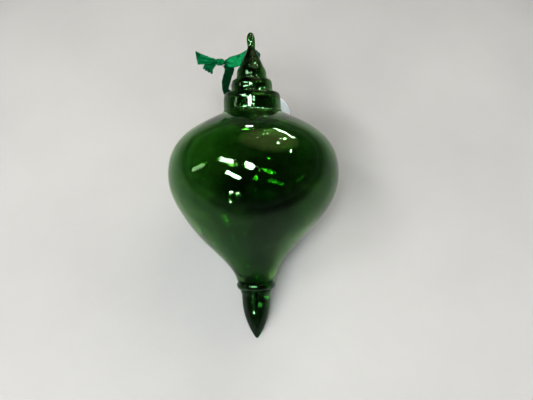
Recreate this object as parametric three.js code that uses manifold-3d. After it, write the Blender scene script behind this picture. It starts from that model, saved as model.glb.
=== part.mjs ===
// Green glass finial ornament: a hollow blown bulb between a stepped crown with a hanging hook
// and a pointed drop, with a satin ribbon loop and a blank card tag on the hook.
// Millimetres, +Z up. The ornament lies on its bulb and its point, as it does on a table.
import * as THREE from "three";
import { mergeVertices } from "three/addons/utils/BufferGeometryUtils.js";
import Module from "manifold-3d";

const wasm = await Module();
wasm.setup();

// Sizes along the glass axis, counted from the point of the drop
const dropLength = 38.9;
const collarThickness = 7.0;
const funnelLength = 84.2;
const shoulderLength = 47.6;
const lowerTierHeight = 15.0;
const middleTierHeight = 10.2;
const upperTierHeight = 9.6;
const hookHeight = 28.4;

// Outer radii
const dropRadius = 12.3;
const collarRadius = 15.2;
const neckRadius = 14.8;
const bulbRadius = 67.0;
const shoulderRadius = 24.0;
const lowerTierRadius = 22.4;
const middleTierRadius = 16.1;
const upperTierRadius = 12.3;
const upperTierTopRadius = 9.8;
const stemRadius = 9.4;

// Glass thickness and the seam that is left between pieces fused while hot
const bulbWall = 1.8;
const neckWall = 4.2;
const crownWall = 3.2;
const crownWeb = 2.6;
const seam = 0.3;
const collarBore = 7.5;
const dropBore = 4.6;
const dropBoreDepth = 25.0;

// Soft shapes of the hand work
const pointRounding = 1.2;
const tierFlare = 1.5;
const tierRounding = 4.2;
const tierLeanIn = 0.5;
const funnelLean = 2.4;

// Hanging hook: a drawn rod bent back onto its own stem
const rodRadius = 2.35;
const hookReach = 9.4;
const hookSpread = 1.0;
const eyeDepth = 8.0;
const eyeBelowTop = 18.4;

// Ribbon and card tag
const ribbonThickness = 0.8;
const knotSize = new THREE.Vector3(7.6, 5.4, 5.0);
const tagWidth = 34.6;
const tagHeight = 53.3;
const tagArch = 30.0;
const tagThickness = 0.4;
const tagCorner = 6.0;
const tagHoleRadius = 3.0;
const tagHoleInset = 5.8;

// Facets round each turned piece, with one facet under the bulb
const facets = 48;
const rodSides = 12;
const rodSteps = 30;

// Places along the axis that follow from the sizes
const collarStart = dropLength + seam;
const neckAt = collarStart + collarThickness + seam;
const bulbAt = neckAt + funnelLength;
const shoulderAt = bulbAt + shoulderLength;
const lowerTierAt = shoulderAt + seam;
const middleTierAt = lowerTierAt + lowerTierHeight + seam;
const upperTierAt = middleTierAt + middleTierHeight + seam;
const hookAt = upperTierAt + upperTierHeight + seam;
const hookTop = hookAt + hookHeight;
const eyeAt = hookTop - eyeBelowTop;

// Materials
const glass = new THREE.MeshStandardMaterial({
  color: 0x1f5a24,
  roughness: 0.04,
  metalness: 0,
  transparent: true,
  opacity: 0.75,
});
const darkGlass = glass.clone();
darkGlass.color.set(0x12351a);
const satin = new THREE.MeshStandardMaterial({ color: 0x00875a, roughness: 0.35, metalness: 0 });
const card = new THREE.MeshStandardMaterial({ color: 0xf1f3f6, roughness: 0.7, metalness: 0 });

// An outline is a list of points (radius, place along the axis) that starts and ends on the
// axis, or comes back to its first point.
function turned(points) {
  return new THREE.LatheGeometry(points, facets, Math.PI / facets);
}

function bent(radius0, at0, radius1, at1, radius2, at2, radius3, at3, steps) {
  const curve = new THREE.CubicBezierCurve(
    new THREE.Vector2(radius0, at0),
    new THREE.Vector2(radius1, at1),
    new THREE.Vector2(radius2, at2),
    new THREE.Vector2(radius3, at3),
  );
  return curve.getPoints(steps);
}

// Moves an outline inwards by the glass thickness, square to the outline
function inner(points, wall) {
  return points.map((point, i) => {
    const before = points[Math.max(i - 1, 0)];
    const after = points[Math.min(i + 1, points.length - 1)];
    const along = after.clone().sub(before).normalize();
    return new THREE.Vector2(point.x - wall * along.y, point.y + wall * along.x);
  });
}

// The bulb: an S-shaped funnel from the neck to the widest place, then the round shoulder
function bulbOutline(funnelSteps, shoulderSteps) {
  const funnel = bent(
    neckRadius,
    neckAt,
    neckRadius + 0.075 * funnelLength,
    neckAt + 0.3 * funnelLength,
    bulbRadius,
    bulbAt - 0.45 * funnelLength,
    bulbRadius,
    bulbAt,
    funnelSteps,
  );
  const shoulder = bent(
    bulbRadius,
    bulbAt,
    bulbRadius,
    bulbAt + 0.63 * shoulderLength,
    shoulderRadius + 0.4 * shoulderLength,
    shoulderAt - 0.19 * shoulderLength,
    shoulderRadius,
    shoulderAt,
    shoulderSteps,
  );
  return [...funnel, ...shoulder.slice(1)];
}

function makeBulb() {
  const outside = bulbOutline(13, 11);
  const inside = inner(bulbOutline(9, 8), bulbWall);
  inside[0].set(neckRadius - neckWall, neckAt);
  inside[inside.length - 1].set(shoulderRadius - 2 * bulbWall, shoulderAt);
  const geometry = turned([...outside, ...inside.reverse(), outside[0]]);
  // The hand-blown funnel leans a little to one side between the neck and the bulb
  const place = geometry.getAttribute("position");
  for (let i = 0; i < place.count; i++) {
    const share = THREE.MathUtils.clamp((place.getY(i) - neckAt) / (0.7 * funnelLength), 0, 1);
    place.setX(i, place.getX(i) - funnelLean * Math.sin(Math.PI * share) ** 2);
  }
  return geometry;
}

// The drop: an ogive from a slightly rounded point to the collar, with a drawn bore in it
function dropOutline() {
  const side = bent(
    pointRounding,
    0.5 * pointRounding,
    0.55 * dropRadius,
    0.22 * dropLength,
    0.93 * dropRadius,
    0.52 * dropLength,
    0.92 * dropRadius,
    0.88 * dropLength,
    9,
  );
  return [new THREE.Vector2(0, 0), ...side, new THREE.Vector2(dropRadius, dropLength)];
}

function makeDrop() {
  const floor = dropLength - dropBoreDepth;
  const bore = [
    new THREE.Vector2(dropBore, dropLength),
    new THREE.Vector2(0.75 * dropBore, dropLength - 0.4 * dropBoreDepth),
    new THREE.Vector2(0.3 * dropBore, floor + 0.15 * dropBoreDepth),
    new THREE.Vector2(0, floor),
  ];
  return turned([...dropOutline(), ...bore]);
}

// The collar: a glass thread wrapped round the joint, half round outside
function makeCollar() {
  const half = collarThickness / 2;
  const rim = new THREE.EllipseCurve(
    collarRadius - half,
    collarStart + half,
    half,
    half,
    -Math.PI / 2,
    Math.PI / 2,
  ).getPoints(8);
  const start = new THREE.Vector2(collarBore, collarStart);
  const end = new THREE.Vector2(collarBore, collarStart + collarThickness);
  return turned([start, ...rim, end, start]);
}

// A crown tier: flared foot, upright wall and round shoulder, open inside up to its top web
function makeTier(at, height, radius, topRadius, bore, topBore) {
  const top = at + height;
  const foot = new THREE.Vector2(radius + tierFlare, at);
  const wall = bent(
    radius + 0.2,
    at + tierFlare,
    radius,
    at + 0.35 * height,
    radius,
    top - tierRounding,
    topRadius,
    top - 0.55 * tierRounding,
    5,
  );
  const shoulder = new THREE.EllipseCurve(
    topRadius - 0.6 * tierRounding,
    top - 0.55 * tierRounding,
    0.6 * tierRounding,
    0.55 * tierRounding,
    0,
    Math.PI / 2,
  ).getPoints(5);
  return turned([
    foot,
    ...wall.slice(0, -1),
    ...shoulder,
    new THREE.Vector2(topBore, top),
    new THREE.Vector2(topBore, top - crownWeb),
    new THREE.Vector2(bore, top - 1.6 * crownWeb),
    new THREE.Vector2(bore, at),
    foot,
  ]);
}

function makeUpperTier(bore, topBore) {
  const top = upperTierAt + upperTierHeight;
  const foot = new THREE.Vector2(upperTierRadius + 0.4, upperTierAt);
  const side = bent(
    upperTierRadius,
    upperTierAt + 0.8,
    upperTierRadius - 0.8,
    upperTierAt + 0.45 * upperTierHeight,
    upperTierTopRadius + 1.0,
    top - 0.3 * upperTierHeight,
    upperTierTopRadius,
    top,
    5,
  );
  return turned([
    foot,
    ...side,
    new THREE.Vector2(topBore, top),
    new THREE.Vector2(bore, upperTierAt),
    foot,
  ]);
}

// Solids that are joined
function solidOf(geometry) {
  const bare = geometry.index ? geometry.toNonIndexed() : geometry.clone();
  bare.deleteAttribute("normal");
  bare.deleteAttribute("uv");
  const merged = mergeVertices(bare, 1e-4);
  return new wasm.Manifold(
    new wasm.Mesh({
      numProp: 3,
      vertProperties: merged.attributes.position.array,
      triVerts: new Uint32Array(merged.index.array),
    }),
  );
}

function geometryOf(solid) {
  const mesh = solid.getMesh();
  const geometry = new THREE.BufferGeometry();
  geometry.setAttribute("position", new THREE.BufferAttribute(mesh.vertProperties, 3));
  geometry.setIndex(new THREE.BufferAttribute(mesh.triVerts, 1));
  geometry.computeVertexNormals();
  return geometry;
}

// The hook's rod in the glass frame: x to the side, y along the axis, z away from the table
function rodPath() {
  const bendAt = hookTop - rodRadius;
  return new THREE.CatmullRomCurve3([
    new THREE.Vector3(0, hookAt + 9, 0),
    new THREE.Vector3(-0.5 * hookSpread, bendAt - 9, 0),
    new THREE.Vector3(-hookSpread, bendAt - 4, -0.1),
    new THREE.Vector3(-0.6 * hookSpread, bendAt - 0.9, -0.24 * hookReach),
    new THREE.Vector3(0, bendAt, -0.5 * hookReach),
    new THREE.Vector3(0.6 * hookSpread, bendAt - 0.9, -0.76 * hookReach),
    new THREE.Vector3(hookSpread, bendAt - 4, -hookReach),
    new THREE.Vector3(hookSpread, bendAt - 9.5, -hookReach - 1.3),
    new THREE.Vector3(hookSpread, hookAt + 8, -hookReach - 1.4),
    new THREE.Vector3(hookSpread, hookAt + 4.2, -hookReach - 0.6),
    new THREE.Vector3(hookSpread, hookAt + 2.8, -hookReach + 2.4),
  ]);
}

function makeHook() {
  const stem = bent(
    stemRadius,
    hookAt,
    0.84 * stemRadius,
    hookAt + 4.7,
    0.49 * stemRadius,
    hookAt + 9.7,
    rodRadius + 0.15,
    hookAt + 16,
    9,
  );
  const foot = new THREE.Vector2(0, hookAt);
  const tip = new THREE.Vector2(0, hookAt + 16);
  const round = new THREE.Shape();
  for (let i = 0; i < rodSides; i++) {
    const turn = (2 * Math.PI * i) / rodSides;
    const x = rodRadius * Math.cos(turn);
    const y = rodRadius * Math.sin(turn);
    if (i) round.lineTo(x, y);
    else round.moveTo(x, y);
  }
  const rod = new THREE.ExtrudeGeometry(round, { extrudePath: rodPath(), steps: rodSteps });
  return geometryOf(solidOf(turned([foot, ...stem, tip])).add(solidOf(rod)));
}

// The angle at which bulb and point both touch the table, and how high that lifts the axis
function lying() {
  const flat = Math.cos(Math.PI / facets);
  const low = (points, angle) =>
    Math.min(...points.map((p) => p.y * Math.sin(angle) - p.x * flat * Math.cos(angle)));
  let least = 0;
  let most = Math.PI / 3;
  for (let i = 0; i < 50; i++) {
    const angle = (least + most) / 2;
    if (low(bulbOutline(13, 11), angle) < low(dropOutline(), angle)) least = angle;
    else most = angle;
  }
  return { angle: most, lift: -low(dropOutline(), most) };
}

const { angle, lift } = lying();
const glassFrame = new THREE.Matrix4().makeRotationX(angle);
glassFrame.setPosition(0, 0, lift);

// The ribbon: places from the eye of the hook in the part's own frame, then the way that the
// ribbon's width points and how wide it is there
const up = new THREE.Vector3(0, Math.cos(angle), Math.sin(angle));
const loopRoute = [
  [-21.4, -0.9, -4.6, 0.1, 0.75, 0.66, 4.2],
  [-18.2, -0.9, -5.6, 0.02, 0.72, 0.69, 8.6],
  [-12.6, -0.7, -4.1, 0, 0.82, 0.57, 9.2],
  [-6.8, -0.6, -1.5, ...up, 9.5],
  [-2.0, 0.7, 1.2, ...up, 8.8],
  [0.8, 0.8, 1.3, ...up, 8.4],
  [2.7, 0.9, 0.9, ...up, 8.4],
  [4.2, 1.3, -0.2, ...up, 8.4],
  [4.8, 1.9, -2.0, ...up, 8.6],
  [6.2, 1.8, -5.2, ...up, 9.2],
  [6.4, 0.8, -9.6, ...up, 9.5],
  [7.6, -0.7, -16.6, 0.1, 0.86, 0.5, 9.5],
  [7.4, -1.6, -25.6, 0.3, 0.86, 0.4, 9.0],
  [11.0, -3.4, -34.6, 0.6, 0.75, 0.2, 7.5],
  [15.0, -7.4, -43.0, 0.95, 0.3, 0, 5.0],
  [15.9, -7.8, -48.2, 1, 0, 0, 4.0],
  [16.0, -3.4, -50.8, 1, 0, 0, 3.6],
  [15.4, 0.8, -52.2, 0.95, -0.3, 0.1, 4.2],
  [11.6, 4.0, -54.8, 0.5, 0.85, 0.1, 6.5],
  [5.6, 5.4, -57.0, 0, 1, 0, 8.8],
  [-2.0, 5.2, -57.8, 0, 1, 0.05, 9.5],
  [-9.5, 4.4, -57.2, 0, 1, 0.1, 9.5],
  [-16.8, 2.8, -54.0, 0.1, 0.98, 0.15, 9.5],
  [-21.4, 1.0, -48.2, 0.25, 0.96, 0.1, 8.6],
  [-22.4, -0.2, -40.9, 0.55, 0.83, 0, 8.6],
  [-22.0, -0.8, -33.4, 0.75, 0.66, 0, 9.3],
  [-21.1, -1.0, -26.0, 0.85, 0.52, 0, 9.5],
  [-19.6, -1.0, -19.8, 0.88, 0.45, 0.1, 9.5],
  [-18.5, -1.0, -14.6, 0.88, 0.42, 0.15, 8.8],
  [-19.6, -0.4, -10.8, 0.85, 0.45, 0.2, 6.4],
  [-21.8, -0.8, -8.1, 0.75, 0.5, 0.2, 4.2],
];
const upperTailRoute = [
  [-29.2, -1.2, -3.1, 0, 0.7, 0.7, 3.6],
  [-32.8, -1.1, -2.5, 0, 0.72, 0.7, 5.0],
  [-36.7, -0.8, -2.1, 0, 0.74, 0.67, 6.8],
  [-40.2, -0.6, -1.2, 0, 0.75, 0.66, 8.2],
  [-42.9, -0.6, 0.1, 0.1, 0.75, 0.66, 9.4],
];
const lowerTailRoute = [
  [-29.3, -1.3, -6.0, 0.34, -0.83, -0.43, 3.8],
  [-32.3, -1.6, -7.5, 0.58, -0.72, -0.37, 6.6],
  [-34.9, -1.9, -10.1, 0.83, -0.51, -0.26, 8.6],
  [-35.9, -2.1, -14.0, 0.96, -0.22, -0.1, 8.4],
];
const knotAt = new THREE.Vector3(-25.6, -1.1, -4.7);
const tagHoleAt = new THREE.Vector3(16.0, -3.4, -52.0);

const point = new THREE.Vector3();

// A flat strip along a route: four corners at each place, and a cap on each end
function makeStrip(route) {
  const curve = new THREE.CatmullRomCurve3(route.map((r) => new THREE.Vector3(r[0], r[1], r[2])));
  const corners = [];
  route.forEach((r, i) => {
    const along = curve.getTangent(i / (route.length - 1));
    const across = new THREE.Vector3(r[3], r[4], r[5]);
    across.addScaledVector(along, -across.dot(along)).normalize();
    const face = along.clone().cross(across);
    for (const [a, f] of [[-1, -1], [1, -1], [1, 1], [-1, 1]]) {
      point.set(r[0], r[1], r[2]);
      point.addScaledVector(across, (a * r[6]) / 2);
      point.addScaledVector(face, (f * ribbonThickness) / 2);
      corners.push(point.x, point.y, point.z);
    }
  });
  const faces = [0, 2, 1, 0, 3, 2];
  for (let i = 0; i < route.length - 1; i++) {
    for (let k = 0; k < 4; k++) {
      const a = 4 * i + k;
      const b = 4 * i + ((k + 1) % 4);
      faces.push(a, b, b + 4, a, b + 4, a + 4);
    }
  }
  const last = corners.length / 3 - 4;
  faces.push(last, last + 1, last + 2, last, last + 2, last + 3);
  const geometry = new THREE.BufferGeometry();
  geometry.setAttribute("position", new THREE.Float32BufferAttribute(corners, 3));
  geometry.setIndex(faces);
  geometry.computeVertexNormals();
  return geometry;
}

// The tag: a card with an arched top and a punched hole, which hangs from the ribbon
function makeTag() {
  const half = tagWidth / 2;
  const archAt = tagHoleInset - tagArch;
  const foot = tagHoleInset - tagHeight;
  const outline = new THREE.Shape();
  outline.moveTo(half, archAt);
  outline.absellipse(0, archAt, half, tagArch, 0, Math.PI, false, 0);
  outline.lineTo(-half, foot + tagCorner);
  outline.absarc(-half + tagCorner, foot + tagCorner, tagCorner, Math.PI, 1.5 * Math.PI, false);
  outline.absarc(half - tagCorner, foot + tagCorner, tagCorner, 1.5 * Math.PI, 2 * Math.PI, false);
  outline.closePath();
  const hole = new THREE.Path();
  hole.absarc(0, 0, tagHoleRadius, 0, 2 * Math.PI, true);
  outline.holes.push(hole);
  const geometry = new THREE.ExtrudeGeometry(outline, {
    depth: tagThickness,
    bevelEnabled: false,
    curveSegments: 16,
  });
  geometry.translate(0, 0, -tagThickness / 2);
  geometry.rotateX(Math.PI / 2);
  return geometry;
}

function named(name, geometry, material) {
  const mesh = new THREE.Mesh(geometry, material);
  mesh.name = name;
  return mesh;
}

// Glass pieces, in the frame of the glass axis
const lowerBore = lowerTierRadius - crownWall;
const middleBore = middleTierRadius - crownWall;
const upperBore = upperTierRadius - crownWall;
const lowerTopRadius = lowerTierRadius - tierLeanIn;
const middleTopRadius = middleTierRadius - tierLeanIn;
const glassGroup = new THREE.Group();
glassGroup.add(
  named("point_drop", makeDrop(), darkGlass),
  named("collar_ring", makeCollar(), darkGlass),
  named("blown_bulb", makeBulb(), glass),
  named(
    "crown_tier_lower",
    makeTier(lowerTierAt, lowerTierHeight, lowerTierRadius, lowerTopRadius, lowerBore, middleBore),
    glass,
  ),
  named(
    "crown_tier_middle",
    makeTier(middleTierAt, middleTierHeight, middleTierRadius, middleTopRadius, middleBore, upperBore),
    glass,
  ),
  named("crown_tier_upper", makeUpperTier(upperBore, upperTierTopRadius - crownWall), glass),
  named("hanging_hook", makeHook(), glass),
);
glassFrame.decompose(glassGroup.position, glassGroup.quaternion, glassGroup.scale);

// Ribbon and tag, from the eye of the hook
const softGroup = new THREE.Group();
softGroup.position.set(0, eyeAt, -eyeDepth).applyMatrix4(glassFrame);
const knotGeometry = new THREE.SphereGeometry(0.5, 12, 8);
const knot = named("ribbon_knot", knotGeometry, satin);
knot.scale.copy(knotSize);
knot.position.copy(knotAt);
const tag = named("hang_tag", makeTag(), card);
tag.position.copy(tagHoleAt);
softGroup.add(
  named("ribbon_loop", makeStrip(loopRoute), satin),
  named("ribbon_tail_upper", makeStrip(upperTailRoute), satin),
  named("ribbon_tail_lower", makeStrip(lowerTailRoute), satin),
  knot,
  tag,
);

// The origin is under the middle of the glass, on the table
const ornament = new THREE.Group();
ornament.add(glassGroup);
ornament.updateMatrixWorld(true);
const middle = new THREE.Box3().setFromObject(glassGroup, true).getCenter(new THREE.Vector3());
ornament.add(softGroup);
glassGroup.position.y -= middle.y;
softGroup.position.y -= middle.y;

export default ornament;
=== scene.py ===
import math

import bmesh
import bpy
from mathutils import Matrix, Vector, noise


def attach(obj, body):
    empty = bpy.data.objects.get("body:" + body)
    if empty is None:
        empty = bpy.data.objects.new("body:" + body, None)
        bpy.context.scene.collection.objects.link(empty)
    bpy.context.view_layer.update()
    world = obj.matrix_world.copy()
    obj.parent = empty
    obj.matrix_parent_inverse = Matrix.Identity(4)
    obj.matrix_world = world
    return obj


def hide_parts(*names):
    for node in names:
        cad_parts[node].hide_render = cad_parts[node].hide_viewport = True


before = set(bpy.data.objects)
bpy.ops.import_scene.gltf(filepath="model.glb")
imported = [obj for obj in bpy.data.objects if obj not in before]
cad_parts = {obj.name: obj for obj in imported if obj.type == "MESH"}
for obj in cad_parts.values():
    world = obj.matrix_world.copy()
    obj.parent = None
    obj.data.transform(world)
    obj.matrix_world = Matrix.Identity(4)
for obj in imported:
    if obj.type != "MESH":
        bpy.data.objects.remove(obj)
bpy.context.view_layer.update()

MM = 0.001

# The glass axis lies at this angle to the table, and the point of the drop is at TIP
LIE = math.radians(29.0778)
TIP = Vector((0, -107.487, 1.0)) * MM
SIDE = Vector((1, 0, 0))
AXIS = Vector((0, math.cos(LIE), math.sin(LIE)))
RISE = Vector((0, -math.sin(LIE), math.cos(LIE)))

# Sizes of the glass in mm, along its axis from the point of the drop and out from the axis
DROP_LENGTH, DROP_RADIUS = 38.9, 12.3
BORE_RADIUS, BORE_LENGTH = 1.1, 31
RING_FROM, RING_TO, RING_RADIUS = 39.0, 46.4, 15.2
NECK, BELLY, SHOULDER = 46.5, 130.7, 178.3
NECK_RADIUS, BELLY_RADIUS, SHOULDER_RADIUS = 14.8, 67, 24
NECK_BORE, SHOULDER_BORE = 10.4, 20.8
BULB_WALL, NECK_EXTRA, SHOULDER_EXTRA = 1.8, 2.6, 1.4
LOWER_TIER, MIDDLE_TIER, UPPER_TIER = 178.36, 193.9, 204.4
UPPER_RADIUS, UPPER_TOP_RADIUS, UPPER_BORE = 11.62, 9.8, 8.9
STEP_ROUNDING = 4.2
HOOK, HOOK_TOP = 214.3, 242.7
STEM_RADIUS, STEM_LENGTH, STEM_BORE, ROD_RADIUS = 9.4, 16, 6.3, 2.35

# The slit between a step of the crown and the next piece
SEAM = 0.06

# The eye of the hook, from which the ribbon's places are counted
EYE = Vector((0, 92.4300, 103.0171)) * MM

# Ribbon and tag in mm, with the knot and the tag's hole as places from the eye
RIBBON_WIDTH, RIBBON_HALF_THICK = 9.5, 0.15
KNOT = Vector((-25.6, -1.1, -4.4))
KNOT_HALF = (4.3, 2.6, 2.4)
TAG_HALF, TAG_HEIGHT, TAG_ARCH, TAG_CORNER, TAG_HALF_THICK = 17.3, 53.3, 30.0, 6.0, 0.2
HOLE_RADIUS = 3.0
TAG_HOLE = Vector((16.0, -3.4, -52.0))

# How far the middle of the hole lies below the top of the tag's arch
HOLE_DOWN = 5.8

# Camera, at the photograph's angle: its place in metres, its dip and turn in degrees
CAMERA_PLACE = (0.00455, -0.23004, 0.46715)
CAMERA_DIP, CAMERA_TURN = 62.14, -1.35
CAMERA_LENS, CAMERA_SENSOR = 39.85, 36


def make_camera():
    data = bpy.data.cameras.new("camera")
    data.sensor_width = CAMERA_SENSOR
    data.lens = CAMERA_LENS
    data.clip_start = 0.01
    camera = bpy.data.objects.new("camera", data)
    camera.location = CAMERA_PLACE
    camera.rotation_euler = (math.radians(90 - CAMERA_DIP), 0, math.radians(CAMERA_TURN))
    bpy.context.collection.objects.link(camera)
    bpy.context.scene.camera = camera


make_camera()


# Material helpers
class Nodes:
    """The nodes of a material or of the world, and the shader that they feed."""

    def __init__(self, owner, shader="Principled BSDF"):
        owner.use_nodes = True
        self.owner = owner
        self.tree = owner.node_tree
        self.shader = self.tree.nodes[shader]

    def add(self, kind, **settings):
        """A new node. Each setting is the value of one of its sockets, or else a property."""
        node = self.tree.nodes.new(kind)
        for key, value in settings.items():
            if key in node.inputs:
                node.inputs[key].default_value = value
            else:
                setattr(node, key, value)
        return node

    def join(self, output, target):
        self.tree.links.new(output, target)

    def set(self, **values):
        """Constants on the shader's own sockets."""
        for key, value in values.items():
            self.shader.inputs[key.replace("_", " ")].default_value = value

    def place(self):
        """The place on the piece, in its own coordinates."""
        return self.add("ShaderNodeTexCoord").outputs["Object"]

    def cloud(self, place, scale, detail, distortion=0.0):
        """The grey value of a noise texture."""
        node = self.add("ShaderNodeTexNoise", Scale=scale, Detail=detail, Distortion=distortion)
        self.join(place, node.inputs["Vector"])
        return node.outputs["Fac"]

    def stretch(self, place, **settings):
        """The place after a mapping."""
        node = self.add("ShaderNodeMapping", **settings)
        self.join(place, node.inputs["Vector"])
        return node.outputs["Vector"]

    def bump(self, height, strength, distance, normal=None):
        """The bumped normal, on top of another normal if there is one."""
        node = self.add("ShaderNodeBump", Strength=strength, Distance=distance)
        self.join(height, node.inputs["Height"])
        if normal is not None:
            self.join(normal, node.inputs["Normal"])
        return node.outputs["Normal"]

    def vectors(self, operation, one, two=None):
        """A vector operation on outputs or constants."""
        node = self.add("ShaderNodeVectorMath", operation=operation)
        for socket, value in zip(node.inputs, (one, two)):
            if isinstance(value, tuple):
                socket.default_value = value
            elif value is not None:
                self.join(value, socket)
        return node.outputs["Vector"]

    def ramp(self, factor, stops):
        """The colours of the stops, between which it blends."""
        node = self.add("ShaderNodeValToRGB")
        elements = node.color_ramp.elements
        while len(elements) < len(stops):
            elements.new(0.5)
        for element, (place, colour) in zip(elements, stops):
            element.position = place
            element.color = (*colour, 1)
        self.join(factor, node.inputs["Fac"])
        return node.outputs["Color"]

    def mix(self, blend_type, one, two):
        """Two colours blended in full."""
        node = self.add("ShaderNodeMixRGB", blend_type=blend_type, Fac=1.0)
        self.join(one, node.inputs["Color1"])
        self.join(two, node.inputs["Color2"])
        return node.outputs["Color"]


def tool_marks(n, place, normal, fineness):
    """The normal where the mesh attribute worked is above 0: it is tilted cell by cell, and leans
    away from the table."""
    cells = n.add("ShaderNodeTexVoronoi", Scale=fineness)
    n.join(place, cells.inputs["Vector"])
    tilt = n.vectors("SUBTRACT", cells.outputs["Color"], (0.5, 0.5, 0.5))
    tilt = n.vectors("MULTIPLY", tilt, (0.6, 0.6, 0.6))
    lean = n.vectors("SUBTRACT", tuple(RISE), normal)
    lean = n.vectors("MULTIPLY", lean, (0.9, 0.9, 0.9))
    where = n.add("ShaderNodeAttribute", attribute_name="worked")
    change = n.vectors("MULTIPLY", n.vectors("ADD", tilt, lean), where.outputs["Color"])
    return n.vectors("NORMALIZE", n.vectors("ADD", change, normal))


def glass_material(name, pale, deep, ripple, marks=0):
    """Hand-blown, fire-polished glass with a slightly uneven colour. ripple is how fine its
    unevenness is, and finer lines are drawn out along the glass axis. marks is how fine the tool
    marks are, if it has any."""
    n = Nodes(bpy.data.materials.new(name))
    place = n.place()
    colour = n.ramp(n.cloud(place, 38.0, 5.0, distortion=1.2), [(0.36, deep), (0.64, pale)])
    n.join(colour, n.shader.inputs["Base Color"])
    n.set(Transmission_Weight=1.0, IOR=1.5, Roughness=0.0)
    n.set(Specular_IOR_Level=0.2, Specular_Tint=(0.7, 1.0, 0.75, 1))
    normal = n.bump(n.cloud(place, ripple, 2.0), strength=0.06, distance=MM)
    drawn = n.stretch(place, vector_type="TEXTURE", Rotation=(LIE, 0, 0), Scale=(1, 12, 1))
    lines = n.cloud(drawn, 3.0 * ripple, 3.0)
    normal = n.bump(lines, strength=0.14, distance=MM, normal=normal)
    if marks:
        normal = tool_marks(n, place, normal, marks)
    n.join(normal, n.shader.inputs["Normal"])
    return n.owner


def satin_material():
    """Woven satin: ribs across the width, threads along it, and a green sheen."""
    n = Nodes(bpy.data.materials.new("green_satin"))
    uv = n.add("ShaderNodeUVMap").outputs["UV"]
    dark, light = (0.0, 0.057, 0.020), (0.0, 0.128, 0.047)
    colour = n.ramp(n.cloud(uv, 3.0, 4.0), [(0.25, dark), (0.75, light)])
    n.join(colour, n.shader.inputs["Base Color"])
    weave = n.add("ShaderNodeMath", operation="ADD")
    for socket, direction, scale in zip(weave.inputs, "XY", (9.0, 6.0)):
        bands = n.add("ShaderNodeTexWave", wave_type="BANDS", bands_direction=direction, Scale=scale)
        n.join(uv, bands.inputs["Vector"])
        n.join(bands.outputs["Fac"], socket)
    normal = n.bump(weave.outputs["Value"], strength=0.35, distance=0.1 * MM)
    n.join(normal, n.shader.inputs["Normal"])
    n.set(Roughness=0.36, Anisotropic=0.5, Metallic=0.55)
    n.set(Specular_IOR_Level=0.35, Specular_Tint=(0.35, 1.0, 0.65, 1))
    return n.owner


def card_material():
    """White uncoated card, with fine fibres and faintly uneven colour."""
    n = Nodes(bpy.data.materials.new("white_card"))
    place = n.place()
    dark, light = (0.86, 0.88, 0.93), (0.92, 0.94, 0.98)
    colour = n.ramp(n.cloud(place, 90.0, 5.0), [(0.3, dark), (0.7, light)])
    n.join(colour, n.shader.inputs["Base Color"])
    normal = n.bump(n.cloud(place, 2400.0, 3.0), strength=0.3, distance=0.05 * MM)
    n.join(normal, n.shader.inputs["Normal"])
    n.set(Roughness=0.72)
    return n.owner


def floor_material():
    """Pale seamless floor, with painted shade that darkens it from 0.36 m to 0.69 m away from the middle.
    """
    n = Nodes(bpy.data.materials.new("floor"))
    place = n.place()
    dark, light = (0.207, 0.204, 0.198), (0.230, 0.227, 0.220)
    pale = n.ramp(n.cloud(place, 5.0, 6.0), [(0.3, dark), (0.7, light)])
    # Painted shade: the colour darkens away from the middle, in place of light that falls off there
    ball = n.add("ShaderNodeTexGradient", gradient_type="SPHERICAL")
    n.join(n.stretch(place, Scale=(0.9, 0.9, 0.9)), ball.inputs["Vector"])
    painted_falloff = n.ramp(ball.outputs["Fac"], [(0.38, (0.25, 0.25, 0.25)), (0.68, (1, 1, 1))])
    n.join(n.mix("MULTIPLY", pale, painted_falloff), n.shader.inputs["Base Color"])
    n.set(Roughness=0.85, Specular_IOR_Level=0.2)
    return n.owner


# How fine the tool marks are
TOOL_MARKS = 900.0

BULB_GLASS = glass_material("bulb_glass", (0.235, 0.51, 0.135), (0.10, 0.325, 0.055), 60.0)
CROWN_GLASS = glass_material("crown_glass", (0.11, 0.29, 0.075), (0.05, 0.18, 0.035), 220.0, TOOL_MARKS)
HOOK_GLASS = glass_material("hook_glass", (0.04, 0.14, 0.03), (0.02, 0.09, 0.016), 220.0, TOOL_MARKS)
RING_GLASS = glass_material("ring_glass", (0.025, 0.10, 0.022), (0.015, 0.07, 0.014), 260.0)
DROP_GLASS = glass_material("drop_glass", (0.04, 0.17, 0.035), (0.025, 0.12, 0.022), 200.0)
SATIN = satin_material()
CARD = card_material()


# Mesh helpers
def piece(name, points, faces, material, body, crease=None, uvs=None):
    """A smooth mesh piece that rides on a body, with sharp edges where it turns by over crease
    degrees. uvs has a place in the weave for each point."""
    mesh = bpy.data.meshes.new(name)
    mesh.from_pydata(points, [], faces)
    mesh.validate()
    work = bmesh.new()
    work.from_mesh(mesh)
    bmesh.ops.recalc_face_normals(work, faces=work.faces)
    work.to_mesh(mesh)
    work.free()
    if uvs:
        layer = mesh.uv_layers.new(name="UVMap")
        for loop in mesh.loops:
            layer.data[loop.index].uv = uvs[loop.vertex_index]
    for polygon in mesh.polygons:
        polygon.use_smooth = True
    if crease is not None:
        mesh.set_sharp_from_angle(angle=math.radians(crease))
    mesh.materials.append(material)
    obj = bpy.data.objects.new(name, mesh)
    bpy.context.collection.objects.link(obj)
    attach(obj, body)
    return obj


def tube_faces(rings, sides, closed=False):
    """Faces between rings of points, and between the last ring and the first if it is closed."""
    faces = []
    for i in range(rings if closed else rings - 1):
        a, b = i * sides, (i + 1) % rings * sides
        for k in range(sides):
            j = (k + 1) % sides
            faces.append((a + k, a + j, b + j, b + k))
    return faces


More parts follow.
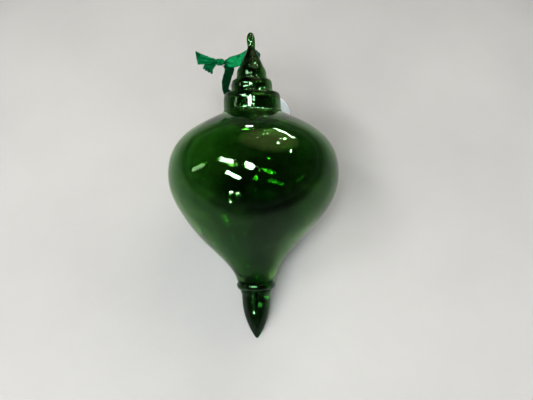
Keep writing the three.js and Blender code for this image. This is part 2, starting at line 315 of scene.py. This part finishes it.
def bezier(p0, p1, p2, p3, steps):
    """Points of a curve from p0 to p3, which p1 and p2 pull."""
    points = []
    for i in range(steps + 1):
        t = i / steps
        a, b, c, d = (1 - t) ** 3, 3 * t * (1 - t) ** 2, 3 * t * t * (1 - t), t**3
        points.append(tuple(a * q0 + b * q1 + c * q2 + d * q3 for q0, q1, q2, q3 in zip(p0, p1, p2, p3)))
    return points


def arc(centre, radii, start, end, steps):
    """Points of a round stretch between two angles in degrees, from out towards along."""
    points = []
    for i in range(steps + 1):
        turn = math.radians(start + (end - start) * i / steps)
        points.append((centre[0] + radii[0] * math.cos(turn), centre[1] + radii[1] * math.sin(turn)))
    return points


def spline(points, per):
    """A centripetal curve through the points, with per steps between each two."""
    pts = [Vector(p) for p in points]
    pts = [2 * pts[0] - pts[1]] + pts + [2 * pts[-1] - pts[-2]]
    out = []
    for i in range(1, len(pts) - 2):
        p0, p1, p2, p3 = pts[i - 1 : i + 3]
        t0 = 0.0
        t1 = t0 + (p1 - p0).length ** 0.5
        t2 = t1 + (p2 - p1).length ** 0.5
        t3 = t2 + (p3 - p2).length ** 0.5
        for j in range(per):
            t = t1 + (t2 - t1) * j / per
            a1 = p0 * ((t1 - t) / (t1 - t0)) + p1 * ((t - t0) / (t1 - t0))
            a2 = p1 * ((t2 - t) / (t2 - t1)) + p2 * ((t - t1) / (t2 - t1))
            a3 = p2 * ((t3 - t) / (t3 - t2)) + p3 * ((t - t2) / (t3 - t2))
            b1 = a1 * ((t2 - t) / (t2 - t0)) + a2 * ((t - t0) / (t2 - t0))
            b2 = a2 * ((t3 - t) / (t3 - t1)) + a3 * ((t - t1) / (t3 - t1))
            out.append(b1 * ((t2 - t) / (t2 - t1)) + b2 * ((t - t1) / (t2 - t1)))
    out.append(pts[-2].copy())
    return out


def tangents(points):
    """The way that a curve goes at each of its points."""
    out = []
    for i in range(len(points)):
        before = points[max(i - 1, 0)]
        after = points[min(i + 1, len(points) - 1)]
        out.append((after - before).normalized())
    return out


def between(value, low, high, soft_low, soft_high):
    """1 inside, 0 below low and above high, and a slope of the given width at each end."""
    return max(0, min(1, (value - low) / soft_low, (high - value) / soft_high))


# Glass helpers
def glass_place(x, along, rise):
    """A point from the glass's own millimetres: to the side, along the axis, away from the table."""
    return TIP + (SIDE * x + AXIS * along + RISE * rise) * MM


def inward(points, wall):
    """The outline moved inwards, square to itself, by wall(along)."""
    moved = []
    for i, (radius, along) in enumerate(points):
        before = points[max(i - 1, 0)]
        after = points[min(i + 1, len(points) - 1)]
        way = Vector((after[0] - before[0], after[1] - before[1])).normalized()
        depth = wall(along)
        moved.append((radius - depth * way.y, along + depth * way.x))
    return moved


def lathe_mesh(outline, wave, sides):
    """Points and faces of an outline turned about the glass axis. It starts and ends on the axis,
    or it is a closed ring. wave(x, along, rise, place in outline) is the radial unevenness in mm."""
    on_axis = [radius <= 1e-6 for radius, _ in outline]
    points, rings = [], []
    for k, (radius, along) in enumerate(outline):
        if on_axis[k]:
            rings.append([len(points)] * sides)
            points.append(Vector((0, along, 0)))
            continue
        ring = []
        for i in range(sides):
            turn = 2 * math.pi * i / sides
            x, rise = math.sin(turn), math.cos(turn)
            r = radius + wave(radius * x, along, radius * rise, k)
            ring.append(len(points))
            points.append(Vector((r * x, along, r * rise)))
        rings.append(ring)
    faces = []
    closed = not (on_axis[0] or on_axis[-1])
    for one, two in zip(rings, rings[1:] + rings[:1] if closed else rings[1:]):
        for i in range(sides):
            j = (i + 1) % sides
            corners = []
            for v in (one[i], one[j], two[j], two[i]):
                if v not in corners:
                    corners.append(v)
            if len(corners) > 2:
                faces.append(corners)
    return points, faces


def unevenness(size, height, seed):
    """Smooth unevenness in mm: bumps of about the given size and height."""

    def wave(x, along, rise):
        return height * noise.noise(Vector((x / size + seed, along / size, rise / size)))

    return wave


def mark(obj, shares):
    """Writes how strongly tools marked each point, which the glass's material reads."""
    layer = obj.data.attributes.new("worked", "FLOAT_VECTOR", "POINT")
    for item, share in zip(layer.data, shares):
        item.vector = (share, share, share)


def turned_glass(name, node, outline, material, wave, sides=192, bend=None, marks=None):
    """A turned piece. bend(along) moves its axis sideways, and marks(x, along, rise) is how
    strongly tools marked it there."""
    points, faces = lathe_mesh(outline, wave, sides)
    places = []
    for p in points:
        x = p.x + (bend(p.y) if bend else 0)
        places.append(glass_place(x, p.y, p.z))
    obj = piece(name, places, faces, material, "glass", crease=40)
    if marks:
        mark(obj, [marks(p.x, p.y, p.z) for p in points])
    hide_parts(node)


# Bulb
def funnel_lean(along):
    """The funnel leans a little to one side between the neck and the belly."""
    share = min(max((along - NECK) / (0.7 * (BELLY - NECK)), 0), 1)
    return -2.4 * math.sin(math.pi * share) ** 2


def bulb_wall(along):
    """The wall is thicker towards the neck and towards the shoulder's top."""
    at_neck = NECK_EXTRA * math.exp((NECK - along) / 13)
    at_shoulder = SHOULDER_EXTRA * math.exp((along - SHOULDER) / 5)
    return BULB_WALL + at_neck + at_shoulder


def make_bulb():
    funnel, shoulder = BELLY - NECK, SHOULDER - BELLY
    outside = bezier(
        (NECK_RADIUS, NECK),
        (NECK_RADIUS + 0.075 * funnel, NECK + 0.3 * funnel),
        (BELLY_RADIUS, BELLY - 0.45 * funnel),
        (BELLY_RADIUS, BELLY),
        64,
    )
    outside += bezier(
        (BELLY_RADIUS, BELLY),
        (BELLY_RADIUS, BELLY + 0.63 * shoulder),
        (SHOULDER_RADIUS + 0.4 * shoulder, SHOULDER - 0.19 * shoulder),
        (SHOULDER_RADIUS, SHOULDER),
        48,
    )[1:]
    inside = inward(outside, bulb_wall)
    inside[0] = (NECK_BORE, NECK)
    inside[-1] = (SHOULDER_BORE, SHOULDER)
    outer_slow, outer_fast = unevenness(36, 0.13, 3.1), unevenness(13, 0.045, 9.7)
    inner_slow, inner_fast = unevenness(24, 0.42, 21.3), unevenness(9, 0.11, 40.9)

    def wave(x, along, rise, k):
        turn = math.atan2(x, rise)
        drawn = noise.noise(Vector((6 * math.cos(turn), 6 * math.sin(turn), along / 80)))
        if k < len(outside):
            even = outer_slow(x, along, rise) + outer_fast(x, along, rise) + 0.07 * drawn
        else:
            even = inner_slow(x, along, rise) + inner_fast(x, along, rise) + 0.24 * drawn
        return between(along, NECK, SHOULDER, 10, 6) * even

    outline = outside + inside[::-1]
    turned_glass("bulb_shell", "blown_bulb", outline, BULB_GLASS, wave, sides=224, bend=funnel_lean)


# Drop and ring
def make_drop():
    length, radius = DROP_LENGTH, DROP_RADIUS
    tip = [(0, 0), (0.5, 0.08), (0.9, 0.28)]
    waist = (0.92 * radius, 0.88 * length)
    side = bezier((1.2, 0.6), (0.55 * radius, 0.22 * length), (0.93 * radius, 0.52 * length), waist, 40)
    top = bezier(waist, (0.93 * radius, 0.93 * length), (radius, 0.95 * length), (radius, length - 0.4), 6)
    outside = tip + side + top[1:] + [(radius - 0.3, length), (9.0, length)]
    bore = bezier((3.0, length), (1.7, length - 2), (1.2, length - 4), (BORE_RADIUS, length - 8), 8)
    bore += [(BORE_RADIUS - 0.02 * i, length - 8 - 0.6 * i) for i in range(1, 38)]
    outline = outside + bore + [(0, length - BORE_LENGTH)]
    slow, across, upward = unevenness(9, 0.12, 5.5), unevenness(4.2, 1.1, 60.1), unevenness(5, 0.9, 81.3)

    def wave(x, along, rise, k):
        if k >= len(outside):
            turn = math.atan2(x, rise)
            free = max(0, min(1, (length - along) / 4))
            return free * (across(0, along, 0) * math.sin(turn) + upward(0, along, 9) * math.cos(turn))
        return min(1, along / 8) * slow(x, along, rise)

    turned_glass("drop_glass", "point_drop", outline, DROP_GLASS, wave, sides=128)


def make_ring():
    middle, half = (RING_FROM + RING_TO) / 2, (RING_TO - RING_FROM) / 2
    rim = arc((RING_RADIUS - half, middle), (half, half), -90, 90, 26)
    outline = [(8.2, RING_FROM), (9.8, RING_FROM)] + rim + [(10.2, RING_TO), (9.2, RING_TO)]
    wavy = unevenness(8, 0.18, 12.2)

    def wave(x, along, rise, k):
        return wavy(x, along, rise) if 2 < k < len(rim) else 0

    turned_glass("ring_thread", "collar_ring", outline, RING_GLASS, wave, sides=160)


# Crown
def foot_marks(at, radius, height):
    """Tool marks round the foot of a step, on its upper side towards +X."""

    def marks(x, along, rise):
        if rise <= 0 or math.hypot(x, rise) < 0.9 * radius:
            return 0
        turn = math.degrees(math.atan2(x, rise))
        middle = at + 0.9 + 0.035 * max(0, 30 - turn)
        low = max(0, 1 - abs(along - middle) / height)
        return low * between(turn, -6, 44, 12, 12)

    return marks


def tier_outline(at, top, radius, foot, bore, top_bore):
    """A step of the crown: a rounded foot, an upright wall and a round shoulder, and its inside
    from the top down in steps of half a millimetre."""
    height, round_in, round_up = top - at, 0.6 * STEP_ROUNDING, 0.55 * STEP_ROUNDING
    outside = arc((radius + foot - 0.7, at + 0.75), (0.7, 0.7), -75, 60, 8)
    outside += bezier(
        (radius + foot - 0.5, at + 1.5),
        (radius + 0.1, at + 2.2),
        (radius, at + 3.2),
        (radius, at + 0.45 * height),
        10,
    )
    outside += bezier(
        (radius, at + 0.5 * height),
        (radius, top - STEP_ROUNDING),
        (radius - 0.1, top - 0.8 * STEP_ROUNDING),
        (radius - 0.5, top - round_up),
        10,
    )
    outside += arc((radius - 0.5 - round_in, top - round_up), (round_in, round_up), 0, 90, 12)[1:]
    inside = bezier((top_bore, top), (top_bore, top - 2.2), (bore, top - 2.2), (bore, top - 5.5), 12)
    inside += [(bore, at + 0.5 * (height - 5.5)), (bore - 0.2, at)]
    fine = []
    for (r0, s0), (r1, s1) in zip(inside, inside[1:]):
        steps = max(1, int(abs(s1 - s0) / 0.5))
        fine += [(r0 + (r1 - r0) * i / steps, s0 + (s1 - s0) * i / steps) for i in range(steps)]
    return outside, fine + [inside[-1]]


def make_tier(name, node, at, top, radius, foot, bore, top_bore, seed):
    outside, inside = tier_outline(at, top, radius, foot, bore, top_bore)
    outer = unevenness(9, 0.14, seed)
    lumpy, small = unevenness(4.6, 0.5, seed + 7), unevenness(2.3, 0.16, seed + 13)

    def wave(x, along, rise, k):
        ends = between(along, at, top, 2, 1.5)
        if k < len(outside):
            return ends * outer(x, along, rise)
        return ends * (lumpy(x, along, rise) + small(x, along, rise))

    marks = foot_marks(at, radius, height=2.4)
    turned_glass(name, node, outside + inside, CROWN_GLASS, wave, sides=240, marks=marks)


def make_upper_tier():
    at, top, radius = UPPER_TIER, HOOK - SEAM, UPPER_RADIUS
    outside = arc((radius + 0.18, at + 0.7), (0.5, 0.7), -80, 30, 6)
    outside += bezier(
        (radius + 0.53, at + 1.3),
        (radius + 0.13, at + 1.9),
        (radius + 0.03, at + 2.6),
        (radius, at + 3.6),
        10,
    )
    end = (UPPER_TOP_RADIUS, top)
    outside += bezier((radius, at + 3.6), (radius - 0.04, at + 6.2), (11.0, top - 1.9), end, 14)[1:]
    inside = bezier((6.4, top), (7.2, top - 3), (8.6, at + 4), (UPPER_BORE, at), 20)
    outer, lumpy = unevenness(7, 0.12, 33.3), unevenness(3.8, 0.5, 51.7)

    def wave(x, along, rise, k):
        uneven = outer if k < len(outside) else lumpy
        return between(along, at, top, 1.5, 1.5) * uneven(x, along, rise)

    marks = foot_marks(at, radius=11.2, height=2.2)
    turned_glass("crown_step_upper", "crown_tier_upper", outside + inside, CROWN_GLASS, wave, marks=marks)


# Hook: a drawn rod bent back on its own stem, and fused to it
def rod_mesh(points, radii, sides):
    """Points and faces of a round rod with flat ends."""
    along = tangents(points)
    across = along[0].orthogonal().normalized()
    verts = []
    for p, way, radius in zip(points, along, radii):
        across = (across - way * across.dot(way)).normalized()
        other = way.cross(across)
        for k in range(sides):
            turn = 2 * math.pi * k / sides
            verts.append(p + (across * math.cos(turn) + other * math.sin(turn)) * radius)
    faces = tube_faces(len(points), sides)
    faces.append(tuple(range(sides))[::-1])
    faces.append(tuple(range(len(verts) - sides, len(verts))))
    return verts, faces


def hook_rod():
    """The rod: up out of the stem, round the top, down nearer the table and back into the stem."""
    top = HOOK_TOP - ROD_RADIUS
    route = [
        (0, HOOK + 9, 0), (-0.5, top - 9, 0), (-1, top - 4, -0.1), (-0.6, top - 0.9, -2.256),
        (0, top, -4.7), (0.6, top - 0.9, -7.144), (1, top - 4, -9.4), (1, top - 9.5, -10.7),
        (1, HOOK + 8, -10.8), (1, HOOK + 4.2, -10.0), (1, HOOK + 2.8, -7.0),
    ]
    path = spline(route, 8)
    drawn = unevenness(7, 0.14, 71.0)
    return rod_mesh(path, [ROD_RADIUS + drawn(*p) for p in path], 20)


def hook_stem():
    """The flared stem, hollow at its foot."""
    end = HOOK + STEM_LENGTH
    side = bezier((STEM_RADIUS, HOOK), (7.9, HOOK + 4.7), (4.6, HOOK + 9.7), (2.5, end), 24)
    hollow = bezier((0, HOOK + 7), (1.6, HOOK + 6.2), (4.6, HOOK + 3), (STEM_BORE, HOOK), 10)
    wavy = unevenness(6, 0.2, 80.0)

    def wave(x, along, rise, k):
        return min(1, max(0, along - HOOK) / 2) * wavy(x, along, rise)

    return lathe_mesh(hollow + [(8.0, HOOK)] + side + [(0, end)], wave, 64)


def stem_marks(place):
    """Tool marks on the upper side of the hook's stem and rod."""
    along = place.dot(AXIS) - HOOK
    turn = math.degrees(math.atan2(place.x, place.dot(RISE)))
    # The middle of each row of marks, and half its height
    rows = ((3.6, 1.3), (7.2, 1.2), (13.5, 1.5), (19.5, 1.8))
    low = max(1 - abs(along - middle) / half for middle, half in rows)
    return max(0, low) * between(turn, -25, 38, 14, 12)


def settle(obj):
    """Applies the modifiers of a piece."""
    graph = bpy.context.evaluated_depsgraph_get()
    mesh = bpy.data.meshes.new_from_object(obj.evaluated_get(graph))
    mesh.name = obj.name
    obj.modifiers.clear()
    obj.data = mesh
    for polygon in mesh.polygons:
        polygon.use_smooth = True


def make_hook():
    rod, stem = hook_rod(), hook_stem()
    points = rod[0] + stem[0]
    faces = rod[1] + [[v + len(rod[0]) for v in face] for face in stem[1]]
    places = [glass_place(p.x, p.y, p.z) for p in points]
    obj = piece("hook_drawn", places, faces, HOOK_GLASS, "glass")
    remesh = obj.modifiers.new("fuse", "REMESH")
    remesh.mode = "VOXEL"
    remesh.voxel_size = 0.28 * MM
    smooth = obj.modifiers.new("smooth", "SMOOTH")
    smooth.factor = 0.5
    smooth.iterations = 8
    settle(obj)
    mark(obj, [stem_marks((vertex.co - TIP) / MM) for vertex in obj.data.vertices])
    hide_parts("hanging_hook")


# Ribbon: places from the eye in mm, then the way its width points and its width there
LOOP_ROUTE = [
    (-21.4, -0.9, -4.6, 0.1, 0.75, 0.66, 4.2),
    (-18.2, -0.9, -5.6, 0.02, 0.72, 0.69, 8.6),
    (-12.6, -0.7, -4.1, 0, 0.82, 0.57, 9.2),
    (-6.8, -0.6, -1.5, *AXIS, 9.5),
    (-2.0, 0.7, 1.2, *AXIS, 8.8),
    (0.8, 0.8, 1.3, *AXIS, 8.4),
    (2.7, 0.9, 0.9, *AXIS, 8.4),
    (4.2, 1.3, -0.2, *AXIS, 8.4),
    (4.8, 1.9, -2.0, *AXIS, 8.6),
    (6.2, 1.8, -5.2, *AXIS, 9.2),
    (6.4, 0.8, -9.6, *AXIS, 9.5),
    (7.6, -0.7, -16.6, 0.1, 0.86, 0.5, 9.5),
    (7.4, -1.6, -25.6, 0.3, 0.86, 0.4, 9.0),
    (11.0, -3.4, -34.6, 0.6, 0.75, 0.2, 7.5),
    (15.0, -7.4, -43.0, 0.95, 0.3, 0, 5.0),
    (15.9, -7.8, -48.2, 1, 0, 0, 4.0),
    (16.0, -3.4, -50.8, 1, 0, 0, 3.6),
    (15.4, 0.8, -52.2, 0.95, -0.3, 0.1, 4.2),
    (11.6, 4.0, -54.8, 0.5, 0.85, 0.1, 6.5),
    (5.6, 5.4, -57.0, 0, 1, 0, 8.8),
    (-2.0, 5.2, -57.8, 0, 1, 0.05, 9.5),
    (-9.5, 4.4, -57.2, 0, 1, 0.1, 9.5),
    (-16.8, 2.8, -54.0, 0.1, 0.98, 0.15, 9.5),
    (-21.4, 1.0, -48.2, 0.25, 0.96, 0.1, 8.6),
    (-22.4, -0.2, -40.9, 0.55, 0.83, 0, 8.6),
    (-22.0, -0.8, -33.4, 0.75, 0.66, 0, 9.3),
    (-21.1, -1.0, -26.0, 0.85, 0.52, 0, 9.5),
    (-19.6, -1.0, -19.8, 0.88, 0.45, 0.1, 9.5),
    (-18.5, -1.0, -14.6, 0.88, 0.42, 0.15, 8.8),
    (-19.6, -0.4, -10.8, 0.85, 0.45, 0.2, 6.4),
    (-21.8, -0.8, -8.1, 0.75, 0.5, 0.2, 4.2),
]
UPPER_TAIL_ROUTE = [
    (-29.2, -1.2, -3.1, 0, 0.7, 0.7, 3.6),
    (-32.8, -1.1, -2.5, 0, 0.72, 0.7, 5.0),
    (-36.7, -0.8, -2.1, 0, 0.74, 0.67, 6.8),
    (-40.2, -0.6, -1.2, 0, 0.75, 0.66, 8.2),
    (-42.9, -0.6, 0.1, 0.1, 0.75, 0.66, 9.4),
]
LOWER_TAIL_ROUTE = [
    (-29.3, -1.3, -6.0, 0.34, -0.83, -0.43, 3.8),
    (-32.3, -1.6, -7.5, 0.58, -0.72, -0.37, 6.6),
    (-34.9, -1.9, -10.1, 0.83, -0.51, -0.26, 8.6),
    (-35.9, -2.1, -14.0, 0.96, -0.22, -0.1, 8.4),
]

# A ribbon's mesh: rows between two places of its route, and faces across its width
ROWS, ACROSS = 8, 20


def ribbon_course(route):
    """Row by row: the places, the ways it goes, the ways its width points, and its widths."""
    middle = spline([r[:3] for r in route], ROWS)
    widths, acrosses = [], []
    for i in range(len(middle)):
        k = min(i // ROWS, len(route) - 2)
        t = (i - ROWS * k) / ROWS
        t = t * t * (3 - 2 * t)
        one, two = route[k], route[k + 1]
        widths.append(one[6] + (two[6] - one[6]) * t)
        acrosses.append((Vector(one[3:6]) * (1 - t) + Vector(two[3:6]) * t).normalized())
    return middle, tangents(middle), acrosses, widths


def satin_lift(v, along, gathered, fold, crinkle, seed):
    """How far the satin's middle layer stands off its route, for v from -1 to 1 across."""
    lift = fold * gathered * math.cos(2.5 * math.pi * v) + 0.25 * (1 - v * v)
    lift += crinkle * noise.noise(Vector((along / 3.2 + seed, 1.3 * v, seed)))
    pleat = math.sin(7.5 * v + 1.5 * noise.noise(Vector((along / 4, seed, 0))))
    return lift + 0.28 * min(1, 2.2 * gathered) * pleat


def strip_faces(rows):
    """Faces of a closed strip: the two layers and the edges, and then the two ends."""
    faces = []
    ring = 2 * (ACROSS + 1)
    for i in range(rows - 1):
        a, b = i * ring, (i + 1) * ring
        for k in range(ACROSS):
            faces.append((a + k, a + k + 1, b + k + 1, b + k))
            under = ACROSS + 1 + k
            faces.append((a + under, b + under, b + under + 1, a + under + 1))
        faces.append((a, b, b + ACROSS + 1, a + ACROSS + 1))
        faces.append((a + ACROSS, a + 2 * ACROSS + 1, b + 2 * ACROSS + 1, b + ACROSS))
    for base, flip in ((0, False), ((rows - 1) * ring, True)):
        for k in range(ACROSS):
            quad = (base + k, base + ACROSS + 1 + k, base + ACROSS + 2 + k, base + k + 1)
            faces.append(quad[::-1] if flip else quad)
    return faces


def strip_piece(name, node, route, fold, crinkle, seed, end=None):
    """A satin ribbon along a route. fold cups it where it is gathered, crinkle creases it, and
    end(v) is how far its last edge reaches, in mm, for v from -1 to 1 across."""
    course = ribbon_course(route)
    middle = course[0]
    verts, uvs = [], []
    along = 0.0
    for i, (p, way, across, width) in enumerate(zip(*course)):
        if i:
            along += (p - middle[i - 1]).length
        across = (across - way * across.dot(way)).normalized()
        face = way.cross(across)
        gathered = 1 - width / RIBBON_WIDTH
        last = max(0, 1 - (len(middle) - 1 - i) / (1.5 * ROWS)) if end else 0
        for layer in (1, -1):
            for k in range(ACROSS + 1):
                v = 2 * k / ACROSS - 1
                lift = satin_lift(v, along, gathered, fold, crinkle, seed)
                lift += RIBBON_HALF_THICK * layer * (1 - 0.7 * abs(v) ** 8)
                reach = last * end(v) if end else 0
                verts.append(EYE + (p + across * (v * width / 2) + face * lift + way * reach) * MM)
                uvs.append((along / RIBBON_WIDTH, k / ACROSS))
    obj = piece(name, verts, strip_faces(len(middle)), SATIN, "ribbon", crease=60, uvs=uvs)
    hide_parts(node)
    return obj, [EYE + p * MM for p in middle]


def slanted_end(v):
    """The upper tail is cut slantwise."""
    return 0.9 + 2.4 * v


def frayed_end(v):
    """The lower tail is frayed and a little slanted."""
    return 0.7 * math.sin(11 * v) + 1.4 * v


def make_knot():
    """The tied knot: the ribbon wrapped round itself, its turns overlapping like shingles."""
    around, along = 72, 44
    verts, uvs = [], []
    for i in range(along + 1):
        x = math.cos(math.pi * i / along)
        girth = math.sin(math.pi * i / along) ** 0.75
        for k in range(around):
            turn = 2 * math.pi * k / around
            y, z = math.cos(turn), math.sin(turn)
            wrap = (k / around * 2 + 1.35 * x) % 1.0
            step = 0.34 * (wrap - 0.5) * min(1, 8 * (1 - wrap))
            crease = 0.3 * noise.noise(Vector((1.1 * x, 1.3 * y, 1.3 * z)) * 2.2)
            r = girth * (1 + step + crease)
            swell = Vector((KNOT_HALF[0] * x, KNOT_HALF[1] * r * y, KNOT_HALF[2] * r * z))
            verts.append(EYE + (KNOT + swell) * MM)
            uvs.append((turn / 2.2, x))
    obj = piece("knot_tied", verts, tube_faces(along + 1, around), SATIN, "ribbon", uvs=uvs)
    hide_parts("ribbon_knot")
    return obj


# Tag
def in_tag(x, z):
    """Whether a place, counted from the middle of the hole, is inside the tag's outline."""
    arch, foot = HOLE_DOWN - TAG_ARCH, HOLE_DOWN - TAG_HEIGHT
    if abs(x) > TAG_HALF or z < foot:
        return False
    if z > arch:
        return (x / TAG_HALF) ** 2 + ((z - arch) / TAG_ARCH) ** 2 < 1
    if z < foot + TAG_CORNER and abs(x) > TAG_HALF - TAG_CORNER:
        return (abs(x) - TAG_HALF + TAG_CORNER) ** 2 + (z - foot - TAG_CORNER) ** 2 < TAG_CORNER**2
    return True


def tag_reach(turn):
    """How far the outline is from the middle of the hole, that way."""
    least, most = HOLE_RADIUS, 60.0
    for _ in range(40):
        middle = (least + most) / 2
        if in_tag(middle * math.cos(turn), middle * math.sin(turn)):
            least = middle
        else:
            most = middle
    return least


def make_tag():
    """The card tag, bowed about its length. Its hole and its outline are trimmed by a hair."""
    spokes, rings = 180, 14
    turns = [2 * math.pi * i / spokes for i in range(spokes)]
    reaches = [tag_reach(turn) for turn in turns]
    shares = [j / rings for j in range(rings + 1)]
    layout = [(share, TAG_HALF_THICK) for share in shares]
    layout += [(share, -TAG_HALF_THICK) for share in reversed(shares)]
    trims = {0: 0.06, 1: -0.06}
    verts = []
    for share, y in layout:
        for turn, reach in zip(turns, reaches):
            r = HOLE_RADIUS + (reach - HOLE_RADIUS) * share + trims.get(share, 0)
            x, z = r * math.cos(turn), r * math.sin(turn)
            bow = 0.35 * (x / TAG_HALF) ** 2 * (1 - math.exp(-abs(z) / 20))
            verts.append(EYE + (TAG_HOLE + Vector((x, y + bow, z))) * MM)
    faces = tube_faces(len(layout), spokes, closed=True)
    obj = piece("card_tag", verts, faces, CARD, "tag", crease=40)
    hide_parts("hang_tag")
    return obj


def make_ribbon():
    """The loop, the tails, the knot and the tag."""
    loop, path = strip_piece("ribbon_strip", "ribbon_loop", LOOP_ROUTE, fold=0.5, crinkle=0.35, seed=2.0)
    upper, _ = strip_piece(
        "tail_upper", "ribbon_tail_upper", UPPER_TAIL_ROUTE,
        fold=0.7, crinkle=0.5, seed=31.0, end=slanted_end,
    )
    lower, _ = strip_piece(
        "tail_lower", "ribbon_tail_lower", LOWER_TAIL_ROUTE,
        fold=0.7, crinkle=0.5, seed=57.0, end=frayed_end,
    )
    knot = make_knot()
    tag = make_tag()
    length = sum((b - a).length for a, b in zip(path, path[1:]))
    tuple(path[0])
    [tuple(p) for p in path]


make_ribbon()
make_bulb()
make_drop()
make_ring()
make_tier(
    "crown_step_lower", "crown_tier_lower", LOWER_TIER, MIDDLE_TIER - SEAM,
    radius=22.4, foot=0.75, bore=19.2, top_bore=12.9, seed=11.0,
)
make_tier(
    "crown_step_middle", "crown_tier_middle", MIDDLE_TIER, UPPER_TIER - SEAM,
    radius=16.1, foot=0.95, bore=12.9, top_bore=9.0, seed=45.0,
)
make_upper_tier()
make_hook()


# Floor, light and background, in metres
def make_floor():
    """The floor touches the lowest point of the uneven bulb, a hair below the frame's ground."""
    size, low = 5.0, -0.00016
    corners = [(-size, -size, low), (size, -size, low), (size, size, low), (-size, size, low)]
    mesh = bpy.data.meshes.new("floor")
    mesh.from_pydata(corners, [], [(0, 1, 2, 3)])
    mesh.materials.append(floor_material())
    floor = bpy.data.objects.new("floor", mesh)
    bpy.context.collection.objects.link(floor)


def panel(name, centre, long_way, length, width, radiance, facing=None, colour=(1, 1, 1)):
    """A soft lamp panel that faces the given way, or else the frame's origin."""
    data = bpy.data.lights.new(name, "AREA")
    data.shape = "RECTANGLE"
    data.size, data.size_y = length, width
    # In watts, so that the panel shines as brightly whatever its size
    data.energy = 4 * length * width * radiance
    data.color = colour
    lamp = bpy.data.objects.new(name, data)
    back = -Vector(facing).normalized() if facing else Vector(centre).normalized()
    x = Vector(long_way)
    x = (x - back * x.dot(back)).normalized()
    y = back.cross(x)
    lamp.matrix_world = Matrix((x, y, back)).transposed().to_4x4()
    lamp.matrix_world.translation = Vector(centre)
    lamp.visible_camera = False
    bpy.context.collection.objects.link(lamp)
    return lamp


LAMP_RADIANCE = 250


def round_lamp(name, centre, size, facing=None):
    """A small bright lamp, which shows as a spark in the glass."""
    lamp = panel(name, centre, SIDE, size, size, LAMP_RADIANCE, facing=facing)
    lamp.data.shape = "ELLIPSE"


# Places of the small round lamps that face the origin: five at the ceiling, and three lower
SPARKS = [
    (0.28, 2.34, 2.4), (0.93, 3.36, 2.4), (1.93, 2.79, 2.4), (1.31, 1.58, 2.4), (2.34, 0.85, 2.4),
    (-0.15, 3.1, 0.86), (-1.085, -1.95, 0.90), (-0.77, -2.14, 0.91),
]


def make_light():
    """Ceiling panels and lamps, which the glass reflects, and a fill that it doesn't reflect."""
    down = (0, 0, -1)
    panel("panel_left", (-1.53, -0.19, 2.4), (0.88, -0.47, 0), 1.09, 0.42, 27, facing=down)
    panel("panel_top", (-0.19, -0.76, 2.4), (0.72, -0.69, 0), 0.60, 0.36, 57, facing=down)
    panel("panel_back", (-1.32, -1.64, 2.4), (0.70, -0.71, 0), 1.15, 0.40, 55, facing=down)
    round_lamp("lamp_spot", (0.51, -1.12, 2.4), 0.08, facing=down)
    for i, centre in enumerate(SPARKS):
        round_lamp(f"lamp_{i}", centre, 0.105)
    round_lamp("lamp_low", (-0.98, -2.0, 0.25), 0.05)
    panel("strip_far", (1.22, 2.48, 1.01), (0.97, -0.62, 0.34), 1.2, 0.10, 42)
    fill = panel(
        "panel_fill", (-0.05, -0.8, 1.3), SIDE, 0.6, 0.6, 18,
        facing=(0.04, 0.87, -1.25), colour=(0.86, 0.93, 1.0),
    )
    fill.visible_glossy = fill.visible_transmission = False
    panel(
        "panel_low", (-3.0, 0.0, 1.05), (0, 0, 1), 1.1, 0.28, 6,
        facing=(1, 0, -0.3), colour=(1.0, 1.0, 0.85),
    )


def make_world():
    """A dim room, paler at the horizon, with a soft warm glow high up beyond the crown."""
    world = bpy.data.worlds.new("studio")
    n = Nodes(world, "Background")
    bpy.context.scene.world = world
    way = n.add("ShaderNodeTexCoord").outputs["Generated"]
    parts = n.add("ShaderNodeSeparateXYZ")
    n.join(way, parts.inputs[0])
    greys = [(0.0, 0.30), (0.06, 0.22), (0.2, 0.07), (0.6, 0.03), (1.0, 0.03)]
    room = n.ramp(parts.outputs["Z"], [(height, (grey, grey, grey * 0.98)) for height, grey in greys])
    nearness = n.add("ShaderNodeVectorMath", operation="DOT_PRODUCT")
    nearness.inputs[1].default_value = Vector((0.30, 0.66, 0.72)).normalized()
    n.join(way, nearness.inputs[0])
    glow = n.ramp(nearness.outputs["Value"], [(0.84, (0, 0, 0)), (0.95, (1.6, 1.25, 0.75))])
    n.join(n.mix("ADD", room, glow), n.shader.inputs["Color"])


def set_look():
    scene = bpy.context.scene
    scene.view_settings.view_transform = "Standard"
    scene.view_settings.gamma = 0.745
    scene.cycles.max_bounces = 24
    scene.cycles.transmission_bounces = 24
    scene.cycles.glossy_bounces = 10
    scene.cycles.sample_clamp_indirect = 80


make_floor()
make_light()
make_world()
set_look()
